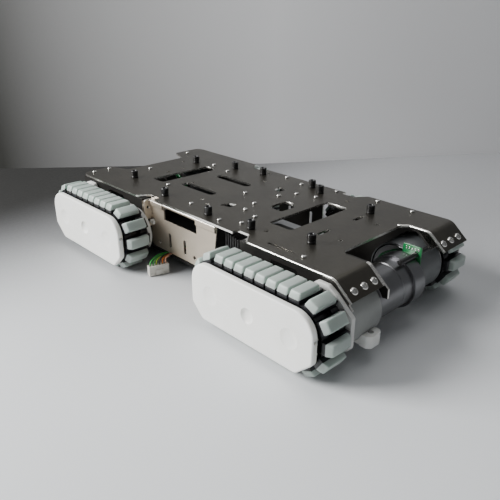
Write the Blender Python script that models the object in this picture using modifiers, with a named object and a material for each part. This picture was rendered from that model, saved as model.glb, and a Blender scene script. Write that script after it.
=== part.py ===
"""Tracked robot chassis: a slotted steel deck on a sheet-metal tub, four gearmotors across
the width, and four track pods, each an endless chain of padded links round a drive sprocket
and an idler, between an inner nylon frame and an outer nylon cover.

Frame: +X forward, +Y left, +Z up, origin on the floor under the middle of the chassis.
Lengths below are millimetres and are turned into metres where the shapes are made.
Run with: blender --background --python part.py
"""

import math

import bmesh
import bpy
from mathutils import Matrix, Vector

MM = 0.001
GAP = 0.3                 # air kept between pieces that touch on the real machine

# ---------------------------------------------------------------- deck
DECK_TOP = 54.3
DECK_T = 1.5
DECK_HALF = 66.0          # half width over the front and rear wings
WAIST_HALF = 61.3         # half width of the waist between the wings
RELIEF_HALF = 56.4        # half width in the small reliefs beside the waist
WING_X, DIAG_X, WAIST_X = 64.2, 56.6, 45.6
EAR_IN, EAR_OUT = 35.0, 65.5
BEND_X, BEND_R, BEND_DEG, FLANGE_END_X = 133.0, 8.0, 41.0, 148.6
STANDOFF_D, STANDOFF_H = 6.0, 6.0
STANDOFFS = [(-105.3, -40.0), (-107.0, 29.2), (-66.6, 42.2), (-35.8, 47.9), (-47.3, -49.6),
             (9.0, -52.0), (49.8, -48.1), (18.3, 51.2), (32.0, 45.0), (94.0, -37.0), (87.2, 36.0)]

# ---------------------------------------------------------------- track pods
AXLE_Z = 26.07
DRIVE_X, IDLER_X = 130.5, 63.0
LINKS = 26
PITCH_R = 15.97           # pitch radius of the 11-tooth sprockets
TEETH = 11
BAND_OUT, BAND_IN = 5.7, 3.4   # chain thickness outside and inside its pin line
PAD_TOP = 10.1            # pad tread above the pin line
PAD_W, PAD_TOP_W = 8.2, 7.9
TRACK_Y0, TRACK_Y1 = 70.0, 91.4
GROOVE_Y0, GROOVE_Y1, GROOVE_R = 77.0, 84.4, 17.3
COVER_Y0, COVER_Y1 = 91.9, 96.4
COVER_X0, COVER_X1 = 44.5, 148.0
COVER_Z0, COVER_Z1 = 5.2, 45.4
FRAME_Y0, FRAME_Y1 = 66.1, 69.6
SLEEVE_R, SLEEVE_BORE, SLEEVE_Y = 20.0, 18.7, 36.0
SHAFT_R = 3.0

# ---------------------------------------------------------------- tub, brackets, motors
TRAY_X, TRAY_Y, TRAY_Z, TRAY_T = 106.0, 56.5, 8.0, 1.5
SIDE_Y, SIDE_T = 59.5, 1.2
SIDE_X0, SIDE_X1, SIDE_Z0 = -54.0, 27.0, 13.3
SHEET = 1.5
BRACKET_X0 = 57.0
CHEEK_OUT, CHEEK_IN = 65.2, 31.5
GEARBOX_R, CAN_R = 18.4, 16.5
MOTOR_FACE, GEARBOX_END = 61.9, 39.0
RIGHT_MOTOR_END, LEFT_MOTOR_END = 15.0, -39.4      # the right motors reach across the middle, the left ones are short

# the left pods and motors are set in under the deck, and their axles towards the middle to clear the bent ears
LEFT_IN, LEFT_BACK = 19.4, 8.6
LEFT_TRAY_Y = 43.0        # tray edge beside the left pods
CENTRE_SHIFT = 9.7        # puts the middle of the overall width on the X axis

# ---------------------------------------------------------------- loose motor lead
LEAD_D = 2.8              # the six wires together
LEAD_ROUTE = [(-33.5, -40.0, 11.3), (-33.5, -48.0, 11.3), (-33.6, -56.0, 11.4), (-33.2, -61.0, 11.7),
              (-31.7, -66.5, 12.0), (-29.9, -71.0, 11.6), (-29.0, -72.7, 10.0), (-29.0, -72.7, 8.4)]
PLUG_AT, PLUG_DIR = (-29.0, -72.7), 74.5      # foot on the floor, direction of its long side
PLUG_W, PLUG_T, PLUG_H = 16.1, 5.4, 8.0

for old in list(bpy.data.objects):
    bpy.data.objects.remove(old, do_unlink=True)

parts = bpy.data.collections.new("tracked_chassis")
cutters = bpy.data.collections.new("cutters")
for collection in (parts, cutters):
    bpy.context.scene.collection.children.link(collection)


def material(name, colour, roughness, metallic=0.0):
    made = bpy.data.materials.new(name)
    made.use_nodes = True
    shader = made.node_tree.nodes["Principled BSDF"]
    shader.inputs["Base Color"].default_value = (*colour, 1.0)
    shader.inputs["Roughness"].default_value = roughness
    shader.inputs["Metallic"].default_value = metallic
    return made


DARK_STEEL = material("dark_steel", (0.060, 0.058, 0.052), 0.38, 0.9)
PALE_STEEL = material("pale_steel", (0.52, 0.47, 0.39), 0.42, 0.9)
WHITE_NYLON = material("white_nylon", (0.82, 0.82, 0.79), 0.45)
FRAME_NYLON = material("frame_nylon", (0.62, 0.62, 0.60), 0.45)
PAD_CHAIN = material("chain_and_pads", (0.35, 0.38, 0.36), 0.5)
BLACK_NYLON = material("black_nylon", (0.015, 0.014, 0.014), 0.4)
SPROCKET = material("sprocket_plastic", (0.03, 0.03, 0.035), 0.5)
BRIGHT_STEEL = material("bright_steel", (0.62, 0.61, 0.59), 0.25, 1.0)
CAN_STEEL = material("motor_steel", (0.42, 0.42, 0.42), 0.32, 1.0)
BOARD_GREEN = material("board_green", (0.0, 0.16, 0.05), 0.4)
PLUG_WHITE = material("plug_white", (0.78, 0.76, 0.70), 0.5)
LEAD = material("lead_insulation", (0.15, 0.45, 0.08), 0.5)


# ---------------------------------------------------------------- shape helpers
def new_object(name, data, mat, where=parts):
    made = bpy.data.objects.new(name, data)
    where.objects.link(made)
    if mat is not None:
        made.data.materials.append(mat)
    if where is cutters:
        made.hide_render = True
        made.display_type = "WIRE"
    return made


def fillet(points, radii, steps=4):
    """The closed polygon with each corner of radius r turned into a short arc."""
    out, n = [], len(points)
    for i, p in enumerate(points):
        r = radii[i] if isinstance(radii, (list, tuple)) else radii
        p = Vector(p)
        if r <= 0:
            out.append(tuple(p))
            continue
        a, b = (Vector(points[i - 1]) - p), (Vector(points[(i + 1) % n]) - p)
        half = a.angle(b) / 2
        cut = min(r / math.tan(half), 0.49 * min(a.length, b.length))
        r = cut * math.tan(half)
        a.normalize()
        b.normalize()
        centre = p + (a + b).normalized() * (r / math.sin(half))
        start, end = p + a * cut - centre, p + b * cut - centre
        turn = start.angle_signed(end)
        for k in range(steps + 1):
            v = start.copy()
            v.rotate(Matrix.Rotation(-turn * k / steps, 2))
            out.append(tuple(centre + v))
    return out


def circle(x, y, r, n=16):
    return [(x + r * math.cos(2 * math.pi * k / n), y + r * math.sin(2 * math.pi * k / n)) for k in range(n)]


def box_outline(x0, y0, x1, y1):
    return [(x0, y0), (x1, y0), (x1, y1), (x0, y1)]


def slot(x0, y0, x1, y1, n=4):
    """A slot with round ends, inside the given box."""
    r = min(x1 - x0, y1 - y0) / 2 * 0.999
    return fillet(box_outline(x0, y0, x1, y1), r, n)


def prism(name, loops, low, high, plane, mat, where=parts):
    """One or more flat outlines given thickness. Plane XY lies level between two heights, XZ
    stands upright between two values of Y."""
    mesh = bpy.data.meshes.new(name)
    edit = bmesh.new()
    for loop in loops:
        if plane == "XY":
            corners = [edit.verts.new((x * MM, y * MM, low * MM)) for x, y in loop]
            along = (0, 0, (high - low) * MM)
        else:
            corners = [edit.verts.new((x * MM, low * MM, y * MM)) for x, y in loop]
            along = (0, (high - low) * MM, 0)
        face = edit.faces.new(corners)
        moved = bmesh.ops.extrude_face_region(edit, geom=[face], use_keep_orig=True)["geom"]
        bmesh.ops.translate(edit, vec=along, verts=[v for v in moved if isinstance(v, bmesh.types.BMVert)])
    bmesh.ops.recalc_face_normals(edit, faces=edit.faces)
    edit.to_mesh(mesh)
    edit.free()
    return new_object(name, mesh, mat, where)


def sheet(name, loops, low, high, plane, mat, where=parts):
    """A flat outline with holes: the first loop is the outline, the others are cut through."""
    made = prism(name, loops[:1], low, high, plane, mat, where)
    if loops[1:]:
        cut(made, [prism("holes", loops[1:], low - 1, high + 1, plane, None, cutters)])
    return made


def to_mesh(source, name, mat, where=parts):
    """The evaluated mesh of an object, welded, in world space and in an object of its own."""
    bpy.context.view_layer.update()
    graph = bpy.context.evaluated_depsgraph_get()
    mesh = bpy.data.meshes.new_from_object(source.evaluated_get(graph))
    mesh.transform(source.matrix_world)
    edit = bmesh.new()
    edit.from_mesh(mesh)
    bmesh.ops.remove_doubles(edit, verts=edit.verts, dist=1e-6)
    bmesh.ops.recalc_face_normals(edit, faces=edit.faces)
    edit.to_mesh(mesh)
    edit.free()
    mesh.materials.clear()
    bpy.data.objects.remove(source, do_unlink=True)
    mesh.name = name
    return new_object(name, mesh, mat, where)


def cylinder(name, axis, centre, radius, low, high, mat, sides=24, where=parts, top_radius=None):
    """A round bar along axis X, Y or Z between two positions; centre gives the other two."""
    mesh = bpy.data.meshes.new(name)
    edit = bmesh.new()
    bmesh.ops.create_cone(edit, cap_ends=True, segments=sides, radius1=radius * MM,
                          radius2=(radius if top_radius is None else top_radius) * MM, depth=(high - low) * MM)
    middle = (low + high) / 2
    turn = {"X": Matrix.Rotation(math.pi / 2, 4, "Y"), "Y": Matrix.Rotation(-math.pi / 2, 4, "X"),
            "Z": Matrix.Identity(4)}[axis]
    place = {"X": (middle, *centre), "Y": (centre[0], middle, centre[1]), "Z": (*centre, middle)}[axis]
    bmesh.ops.transform(edit, verts=edit.verts, matrix=Matrix.Translation(Vector(place) * MM) @ turn)
    edit.to_mesh(mesh)
    edit.free()
    return new_object(name, mesh, mat, where)


def block(name, low, high, mat, where=parts):
    mesh = bpy.data.meshes.new(name)
    edit = bmesh.new()
    size = [(b - a) * MM for a, b in zip(low, high)]
    middle = Vector([(a + b) / 2 * MM for a, b in zip(low, high)])
    bmesh.ops.create_cube(edit, size=1.0, matrix=Matrix.Translation(middle) @ Matrix.Diagonal((*size, 1)))
    edit.to_mesh(mesh)
    edit.free()
    return new_object(name, mesh, mat, where)


def combine(target, others, operation):
    """A Boolean with each of the other objects in turn, which then go."""
    for other in others:
        modifier = target.modifiers.new(operation.lower(), "BOOLEAN")
        modifier.operation = operation
        modifier.solver = "EXACT"
        modifier.object = other
        bpy.context.view_layer.update()
        graph = bpy.context.evaluated_depsgraph_get()
        mesh = bpy.data.meshes.new_from_object(target.evaluated_get(graph))
        target.modifiers.clear()
        old, target.data = target.data, mesh
        mesh.name = target.name
        bpy.data.meshes.remove(old)
        bpy.data.objects.remove(other, do_unlink=True)
    return target


def join(target, others):
    return combine(target, others, "UNION")


def cut(target, others):
    return combine(target, others, "DIFFERENCE")


def smooth(target, degrees=35):
    target.data.shade_smooth()
    target.data.set_sharp_from_angle(angle=math.radians(degrees))
    return target


def bevel(target, width, degrees=40):
    modifier = target.modifiers.new("soft edges", "BEVEL")
    modifier.width = width * MM
    modifier.segments = 1
    modifier.limit_method = "ANGLE"
    modifier.angle_limit = math.radians(degrees)
    return target


def mirrored(source, name, front, left):
    """A copy of a front-right piece at another corner."""
    made = source.copy()
    made.name = name
    parts.objects.link(made)
    return placed(made, front, left)


def placed(piece, front, left):
    """Turns a front-right piece to its corner; the left ones sit further in."""
    piece.scale = (1 if front else -1, -1 if left else 1, 1)
    if left:
        piece.location = Vector((-LEFT_BACK if front else LEFT_BACK, -LEFT_IN, 0)) * MM
    return piece


CORNERS = [("front_right", True, False), ("front_left", True, True),
           ("rear_right", False, False), ("rear_left", False, True)]


# ---------------------------------------------------------------- deck
def ear_strip(top, thickness, start_x, end_x):
    """Side view of a sheet that runs level and then bends down, top surface first."""
    centre = Vector((BEND_X, DECK_TOP - BEND_R))
    drop = DECK_TOP - top
    outer, inner = BEND_R - drop, BEND_R - drop - thickness
    bend = math.radians(BEND_DEG)
    along = Vector((math.cos(bend), -math.sin(bend)))

    def arc(r):
        return [centre + r * Vector((math.sin(bend * k / 4), math.cos(bend * k / 4))) for k in range(5)]

    over, under = arc(outer), arc(inner)
    reach = (end_x - over[-1].x) / along.x
    over.append(over[-1] + along * reach)
    under.append(under[-1] + along * reach)
    return [(start_x, top)] + [tuple(p) for p in over] + [tuple(p) for p in reversed(under)] + [(start_x, top - thickness)]


half = [(-131.0, -30.5), (-149.6, -36.5), (-149.2, -DECK_HALF), (-WING_X, -DECK_HALF), (-DIAG_X, -RELIEF_HALF),
        (-WAIST_X, -RELIEF_HALF), (-WAIST_X, -WAIST_HALF), (WAIST_X, -WAIST_HALF), (WAIST_X, -RELIEF_HALF),
        (DIAG_X, -RELIEF_HALF), (WING_X, -DECK_HALF), (BEND_X, -DECK_HALF), (BEND_X, -EAR_IN), (120.0, -EAR_IN),
        (116.0, -31.0)]
radii = [2, 3, 7, 1, 0, 0, 0, 0, 0, 0, 1, 0, 0, 3, 3]
outline = fillet(half + [(x, -y) for x, y in reversed(half)], radii + radii[::-1], 3)
holes = [fillet([(-92.6, -30.6), (-77.8, -29.8), (-76.3, 28.2), (-90.4, 27.4)], 3.5, 2),    # rear cross slot
         slot(-63.0, -22.8, -23.0, -15.0, 2), slot(-60.4, 12.6, -20.0, 20.4, 2),
         fillet(box_outline(50.0, -31.0, 70.5, 31.0), 2.0, 2),    # window over the battery bay
         fillet([(27.0, -5.0), (31.0, -9.0), (41.0, -9.0), (41.0, 5.0), (37.0, 9.0), (27.0, 9.0)], 1.5, 2),
         slot(86.2, -23.2, 89.4, -11.2, 2), slot(86.4, 15.4, 89.6, 26.6, 2), slot(74.8, -58.0, 97.4, -55.8, 1),
         fillet([(-1.5, -33.0), (8.0, -30.0), (7.5, -22.5), (1.0, -24.5)], 1.0, 2),
         fillet([(-1.5, 33.0), (8.0, 30.0), (7.5, 22.5), (1.0, 24.5)], 1.0, 2)]
deck = sheet("top_plate", [outline] + holes, DECK_TOP - DECK_T, DECK_TOP, "XY", DARK_STEEL)
for side in (-1, 1):
    low, high = sorted((side * EAR_IN, side * EAR_OUT))
    ear = sheet(f"ear_{side}", [ear_strip(DECK_TOP, DECK_T, 126.0, FLANGE_END_X)], low, high, "XZ", None)
    join(deck, [ear])
smooth(deck, 25)

for number, (x, y) in enumerate(STANDOFFS, 1):
    post = cylinder(f"standoff_{number:02d}", "Z", (x, y), STANDOFF_D / 2, DECK_TOP + GAP, DECK_TOP + GAP + STANDOFF_H,
                    BLACK_NYLON, 10)
    bore = cylinder("bore", "Z", (x, y), 1.5, DECK_TOP + 2.5, DECK_TOP + 9.0, None, 6, cutters)
    smooth(cut(post, [bore]))

# ---------------------------------------------------------------- tub
tray_loops = [fillet([(-TRAY_X, -TRAY_Y), (TRAY_X, -TRAY_Y), (TRAY_X, LEFT_TRAY_Y), (25.0, LEFT_TRAY_Y), (25.0, TRAY_Y),
                      (-25.0, TRAY_Y), (-25.0, LEFT_TRAY_Y), (-TRAY_X, LEFT_TRAY_Y)], 4, 2)]
for x in (-72.0, 0.0, 72.0):
    for side in (-1, 1):
        tray_loops.append(slot(x - 16, side * 30 - 3, x + 16, side * 30 + 3, 2))
tray = sheet("bottom_tray", tray_loops, TRAY_Z, TRAY_Z + TRAY_T, "XY", PALE_STEEL)
lips = [block(f"lip_{s}", (min(s * (TRAY_X - 2), s * (TRAY_X - 0.5)), -TRAY_Y + 6, TRAY_Z + 0.5),
              (max(s * (TRAY_X - 2), s * (TRAY_X - 0.5)), 12.0, 17.0), None) for s in (1, -1)]
join(tray, lips)

face = fillet([(SIDE_X0, SIDE_Z0), (SIDE_X1 - 3, SIDE_Z0), (SIDE_X1, 20.0), (SIDE_X1, 52.4), (SIDE_X0, 52.4)],
              [3, 2, 2, 0, 0], 2)
openings = [box_outline(-36.0, 39.6, 4.0, 49.6), slot(-30.9, 18.4, -28.3, 29.8, 2), slot(-11.8, 18.4, -9.2, 29.8, 2),
            circle(-43.5, 18.9, 1.4, 10), circle(0.7, 19.4, 1.4, 10)]
side_plate = sheet("side_plate_right", [face] + openings, -SIDE_Y, -SIDE_Y + SIDE_T, "XZ", PALE_STEEL)
top_flange = block("top_flange", (SIDE_X0, -SIDE_Y, 51.3), (SIDE_X1, -51.5, 52.5), None)
end_flange = block("end_flange", (SIDE_X0 - 0.6, -65.4, 30.0), (SIDE_X0 + 0.6, -SIDE_Y + 0.6, 52.4), None)
end_holes = [cylinder(f"hole_{z}", "X", (-62.9, z), 1.1, -60.0, -50.0, None, 8, cutters) for z in (35.0, 46.0)]
lip = block("lip", (SIDE_X0 + 1.0, -SIDE_Y - 1.6, 49.9), (SIDE_X1 - 1.0, -SIDE_Y + 0.5, 52.1), None)
join(side_plate, [top_flange, end_flange, lip])
cut(side_plate, end_holes)

# the left one is shorter, between the two pods
left_face = fillet([(-25.0, SIDE_Z0), (25.0, SIDE_Z0), (25.0, 52.4), (-25.0, 52.4)], [3, 3, 0, 0], 2)
left_plate = sheet("side_plate_left", [left_face, box_outline(-17.0, 39.6, 17.0, 49.6), slot(-13.6, 18.4, -11.0, 29.8, 2),
                                       slot(11.0, 18.4, 13.6, 29.8, 2)], SIDE_Y - SIDE_T, SIDE_Y, "XZ", PALE_STEEL)
join(left_plate, [block("top_flange", (-25.0, 51.5, 51.3), (25.0, SIDE_Y - 0.1, 52.5), None),
                  block("lip", (-24.0, SIDE_Y - 0.5, 49.9), (24.0, SIDE_Y + 1.6, 52.1), None)])

# ---------------------------------------------------------------- motor brackets
web_top = DECK_TOP - DECK_T - GAP


def bracket(name, bent, single=False):
    """Outer cheek, web under the deck's ear and inner cheek, right side at +X; the single one has the outer cheek only."""
    if bent:
        strip = ear_strip(web_top, SHEET, BRACKET_X0, 147.2)
        end = [tuple(p) for p in strip[1:7]]
    else:
        strip = box_outline(BRACKET_X0, web_top - SHEET, 147.5, web_top)
        end = [(147.5, web_top)]
    web = sheet(name, [strip], -CHEEK_OUT, -LEFT_IN - 36.0 if single else -CHEEK_IN + SHEET, "XZ", PALE_STEEL)
    tip = (end[-1][0], end[-1][1])
    outer = [(BRACKET_X0, 12.0), (109.5, 12.0)]
    outer += [(DRIVE_X + 20.9 * math.cos(a), AXLE_Z + 20.9 * math.sin(a))
              for a in [math.radians(180 - 20 * k) for k in range(8)]]
    outer += [(149.5, 38.0)] + [tip] + end[-2::-1] + [(BRACKET_X0, web_top)]
    windows = [] if single else [slot(84.0, 44.0, 108.0, 49.0, 2), fillet(box_outline(66, 18, 100, 38), 4, 2)]
    cheek = sheet("outer_cheek", [outer] + windows, -CHEEK_OUT, -CHEEK_OUT + SHEET, "XZ", None)
    if single:
        return join(web, [cheek])
    saddle = CAN_R + 0.9
    inner = [(105.0, web_top), (105.0, 34.0), (108.0, AXLE_Z)]
    inner += [(DRIVE_X + saddle * math.cos(a), AXLE_Z + saddle * math.sin(a))
              for a in [math.radians(180 - 19.375 * k) for k in range(9)]]
    inner += [(150.0, 33.8), (149.8, 40.0)] + [tip] + end[-2::-1]
    ring = sheet("inner_cheek", [inner], -CHEEK_IN, -CHEEK_IN + SHEET, "XZ", None)
    return join(web, [cheek, ring])


front_bracket = bracket("motor_bracket_front_right", True)
rear_bracket = bracket("motor_bracket_rear_right", False)
placed(rear_bracket, False, False)
placed(bracket("motor_bracket_front_left", True, True), True, True)
placed(bracket("motor_bracket_rear_left", False, True), False, True)

# ---------------------------------------------------------------- gearmotors and encoder boards
def gearmotor(name, end):
    """Gearbox, and the can behind it where the motor reaches further than the gearbox."""
    motor = cylinder(name, "Y", (DRIVE_X, AXLE_Z), GEARBOX_R, -MOTOR_FACE, min(-GEARBOX_END, end), CAN_STEEL, 24)
    if end > -GEARBOX_END:
        join(motor, [cylinder("can", "Y", (DRIVE_X, AXLE_Z), CAN_R, -GEARBOX_END - 1, end - 1, None, 20),
                     cylinder("end_bell", "Y", (DRIVE_X, AXLE_Z), GEARBOX_R, end - 12, end, None, 24)])
    bore = cylinder("bore", "Y", (DRIVE_X, AXLE_Z), SHAFT_R + GAP, -MOTOR_FACE - 1, -MOTOR_FACE + 4, None, 12, cutters)
    return smooth(cut(motor, [bore]))


def encoder_board(name, start, low, high, top):
    """Round board behind the motor with a tab standing up for the plug."""
    board = cylinder(name, "Y", (DRIVE_X, AXLE_Z), 14.6, start, start + 1.2, BOARD_GREEN, 16)
    return join(board, [block("tab", (DRIVE_X + low, start + 0.15, AXLE_Z + 8.3), (DRIVE_X + high, start + 1.05, AXLE_Z + top), None)])


mirrored(gearmotor("gearmotor_front_right", RIGHT_MOTOR_END), "gearmotor_rear_right", False, False)
mirrored(placed(gearmotor("gearmotor_front_left", LEFT_MOTOR_END), True, True), "gearmotor_rear_left", False, True)
mirrored(encoder_board("encoder_board_front_right", RIGHT_MOTOR_END + 0.7, -2.0, 12.0, 24.0), "encoder_board_rear_right", False, False)
mirrored(placed(encoder_board("encoder_board_front_left", LEFT_MOTOR_END + 0.7, -3.1, 9.1, 15.5), True, True),
         "encoder_board_rear_left", False, True)

# ---------------------------------------------------------------- pods
centre_x = (DRIVE_X + IDLER_X) / 2


def stadium(r, n=10, x0=IDLER_X, x1=DRIVE_X):
    right = [(x1 + r * math.cos(a), AXLE_Z + r * math.sin(a)) for a in [math.pi * (k / n - 0.5) for k in range(n + 1)]]
    left = [(x0 + r * math.cos(a), AXLE_Z + r * math.sin(a)) for a in [math.pi * (k / n + 0.5) for k in range(n + 1)]]
    return right + left


def on_pitch_line(s):
    """Point at distance s along the pin line, from the drive sprocket's front, turning up."""
    span, arc = DRIVE_X - IDLER_X, math.pi * PITCH_R
    s %= 2 * (span + arc)
    if s < arc / 2:
        x, a = DRIVE_X, s / PITCH_R
    elif s < arc / 2 + span:
        return Vector((DRIVE_X - (s - arc / 2), AXLE_Z + PITCH_R))
    elif s < 1.5 * arc + span:
        x, a = IDLER_X, math.pi / 2 + (s - arc / 2 - span) / PITCH_R
    elif s < 1.5 * arc + 2 * span:
        return Vector((IDLER_X + (s - 1.5 * arc - span), AXLE_Z - PITCH_R))
    else:
        x, a = DRIVE_X, -math.pi / 2 + (s - 1.5 * arc - 2 * span) / PITCH_R
    return Vector((x + PITCH_R * math.cos(a), AXLE_Z + PITCH_R * math.sin(a)))


loop_length = 2 * (DRIVE_X - IDLER_X) + 2 * math.pi * PITCH_R
pins = [on_pitch_line(loop_length / LINKS * (k - 0.5)) for k in range(LINKS)]


def offset_loop(points, by):
    """The closed polygon pushed outwards (it turns anticlockwise) by the given distance."""
    out = []
    for i, p in enumerate(points):
        before, after = (p - points[i - 1]).normalized(), (points[(i + 1) % len(points)] - p).normalized()
        normal = Vector((before.y + after.y, -before.x - after.x)).normalized()
        out.append(tuple(p + normal * (by / math.cos(before.angle(after) / 2))))
    return out


track = sheet("track_front_right", [offset_loop(pins, BAND_OUT), offset_loop(pins, -BAND_IN)],
              -TRACK_Y1, -TRACK_Y0, "XZ", PAD_CHAIN)
groove = prism("groove", [stadium(GROOVE_R, 7)], -GROOVE_Y1, -GROOVE_Y0, "XZ", None, cutters)
cut(track, [groove])
pads = bmesh.new()
for k in range(LINKS):
    middle = on_pitch_line(loop_length / LINKS * k)
    along = (on_pitch_line(loop_length / LINKS * k + 0.5) - on_pitch_line(loop_length / LINKS * k - 0.5)).normalized()
    out = Vector((along.y, -along.x))
    place = Matrix(((along.x, 0, out.x, middle.x), (0, 1, 0, 0), (along.y, 0, out.y, middle.y), (0, 0, 0, 1)))
    pad = bmesh.ops.create_cube(pads, size=1.0)["verts"]
    for v in pad:
        top = v.co.z > 0
        near = v.co.y < 0
        width = PAD_TOP_W if top else PAD_W
        y = (-TRACK_Y1 + (2.0 if top else 0.2)) if near else (-TRACK_Y0 - (0.8 if top else 0.2))
        v.co = place @ Vector((math.copysign(width / 2, v.co.x), y, PAD_TOP if top else BAND_OUT - 1.5))
        v.co *= MM
bmesh.ops.recalc_face_normals(pads, faces=pads.faces)
pad_mesh = bpy.data.meshes.new("pads")
pads.to_mesh(pad_mesh)
pads.free()
join(track, [new_object("pads", pad_mesh, None)])

# outer cover: thick moulded plate, round top corners, clipped bottom corners
cover_outline = fillet([(COVER_X0, COVER_Z0 + 10), (COVER_X0 + 10, COVER_Z0), (COVER_X1 - 12, COVER_Z0),
                        (COVER_X1, COVER_Z0 + 11), (COVER_X1, COVER_Z1), (COVER_X0, COVER_Z1)],
                       [3, 3, 3, 3, 14, 14], 3)
cover = bevel(sheet("outer_cover_front_right", [cover_outline], -COVER_Y1, -COVER_Y0, "XZ", WHITE_NYLON), 1.0, 50)
dimples = [cylinder(f"dimple_{x}", "Y", (x, AXLE_Z - 1.0), 5.4, -COVER_Y1 - 1, -COVER_Y1 + 0.9, None, 12, cutters, top_radius=4.0)
           for x in (IDLER_X, centre_x, DRIVE_X)]
sockets = [cylinder(f"socket_{x}", "Y", (x, AXLE_Z), SHAFT_R + GAP, -COVER_Y0 - 2.2, -COVER_Y0 + 1, None, 12, cutters)
           for x in (IDLER_X, DRIVE_X)]
smooth(cut(cover, dimples + sockets), 30)

# inner frame with motor sleeve, centre post and clamp boss
def pod_frame(name, fender):
    """Plate, sleeve and post; the right ones carry a fender beside the deck's ear and a clamp boss."""
    frame = sheet(name, [stadium(18.5, 6), circle(IDLER_X, AXLE_Z, SHAFT_R + GAP, 12)], -FRAME_Y1, -FRAME_Y0, "XZ", FRAME_NYLON)
    pieces = [cylinder("sleeve", "Y", (DRIVE_X, AXLE_Z), SLEEVE_R, -FRAME_Y0 - 1, -SLEEVE_Y if fender else -39.0, None, 24),
              cylinder("post", "Y", (centre_x, AXLE_Z), 4.5, -COVER_Y0 + GAP, -FRAME_Y1 + 1, None, 14)]
    if fender:
        pieces.append(sheet("clamp", [fillet(box_outline(136.0, -52.6, 154.6, -39.6), [0, 6.4, 6.4, 0], 4)], 9.4, 17.8, "XY", None))
        pieces.insert(0, sheet("fender", [fillet([(116.0, 30.0), (125.0, 50.6), (134.6, 50.6), (140.4, 46.9), (152.6, 36.3),
                                                  (152.8, 16.0), (141.0, 10.0)], [0, 3, 3, 3, 2, 4, 0], 3)],
                               -FRAME_Y1, -FRAME_Y0, "XZ", None))
    join(frame, pieces)
    motor_bore = cylinder("motor_bore", "Y", (DRIVE_X, AXLE_Z), SLEEVE_BORE, -62.3, -SLEEVE_Y + 1, None, 24, cutters)
    shaft_bore = cylinder("shaft_bore", "Y", (DRIVE_X, AXLE_Z), SHAFT_R + 0.4, -FRAME_Y1 - 1, -61, None, 12, cutters)
    return smooth(cut(frame, [motor_bore, shaft_bore]))


mirrored(pod_frame("pod_frame_front_right", True), "pod_frame_rear_right", False, False)
left_frame = placed(pod_frame("pod_frame_front_left", False), True, True)
mirrored(left_frame, "pod_frame_rear_left", False, True)

for base, stem in ((track, "track"), (cover, "outer_cover")):
    for corner, front, left in CORNERS[1:]:
        mirrored(base, f"{stem}_{corner}", front, left)


def sprocket(name, x, y_sign):
    """Toothed disc and hub about its own origin, which sits on the axle."""
    profile = []
    root, tip = 12.2, 16.3
    for k in range(TEETH):
        middle = 2 * math.pi * k / TEETH + math.pi / TEETH
        for r, da in ((root, -math.pi / TEETH), (tip, -0.075), (tip, 0.075)):
            profile.append((r * math.cos(middle + da), r * math.sin(middle + da)))
    wheel = sheet(name, [profile], -3.0, 3.0, "XZ", SPROCKET)
    hub = cylinder("hub", "Y", (0, 0), 7.0, -10.4, 10.4, None, 12)
    join(wheel, [hub])
    cut(wheel, [cylinder("bore", "Y", (0, 0), SHAFT_R + GAP, -12, 12, None, 10, cutters)])
    wheel.location = Vector((x, y_sign * (TRACK_Y0 + TRACK_Y1) / 2, AXLE_Z)) * MM
    return wheel


def round_bar(name, x, y_sign, start, end, mat):
    """A shaft about its own origin on the axle line."""
    bar = cylinder(name, "Y", (0, 0), SHAFT_R, *sorted((y_sign * (start - 80), y_sign * (end - 80))), mat, 10)
    bar.location = Vector((x, y_sign * 80, AXLE_Z)) * MM
    return smooth(bar)


for corner, front, left in CORNERS:
    sx, sy = (1 if front else -1), (1 if left else -1)
    sprocket(f"drive_sprocket_{corner}", sx * DRIVE_X, sy)
    sprocket(f"idler_sprocket_{corner}", sx * IDLER_X, sy)
    round_bar(f"drive_shaft_{corner}", sx * DRIVE_X, sy, MOTOR_FACE - 3.5, COVER_Y0 + 1.8, BRIGHT_STEEL)
    round_bar(f"idler_axle_{corner}", sx * IDLER_X, sy, FRAME_Y0 + 0.2, COVER_Y0 + 1.8, BRIGHT_STEEL)
    if left:
        for stem in ("drive_sprocket", "idler_sprocket", "drive_shaft", "idler_axle"):
            parts.objects[f"{stem}_{corner}"].location += Vector((-sx * LEFT_BACK, -LEFT_IN, 0)) * MM

# ---------------------------------------------------------------- loose motor lead
clip = block("lead_clip", (-39.0, -39.7, TRAY_Z + TRAY_T + GAP), (-28.0, -33.0, 15.0), WHITE_NYLON)
bevel(clip, 0.6)

plug = block("lead_connector", (-PLUG_W / 2, -PLUG_T / 2, 0.0), (PLUG_W / 2, PLUG_T / 2, PLUG_H), PLUG_WHITE)
rib = block("rib", (-PLUG_W / 2 + 5, -PLUG_T / 2 - 0.7, 0.8), (PLUG_W / 2 - 5, -PLUG_T / 2 + 0.5, 5.0), None)
join(plug, [rib])
plug.location = Vector((*PLUG_AT, 0)) * MM
plug.rotation_euler = (0, 0, math.radians(PLUG_DIR))


def smooth_route(ways, steps):
    """Points read from a smooth curve through the given ones."""
    ways = [Vector(p) for p in ways]
    points = []
    for i in range(len(ways) - 1):
        p0, p1, p2, p3 = ways[max(i - 1, 0)], ways[i], ways[i + 1], ways[min(i + 2, len(ways) - 1)]
        for t in [n / steps for n in range(steps)]:
            points.append(0.5 * (2 * p1 + (p2 - p0) * t + (2 * p0 - 5 * p1 + 4 * p2 - p3) * t * t
                                 + (3 * p1 - p0 - 3 * p2 + p3) * t ** 3))
    return points + [ways[-1]]


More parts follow.
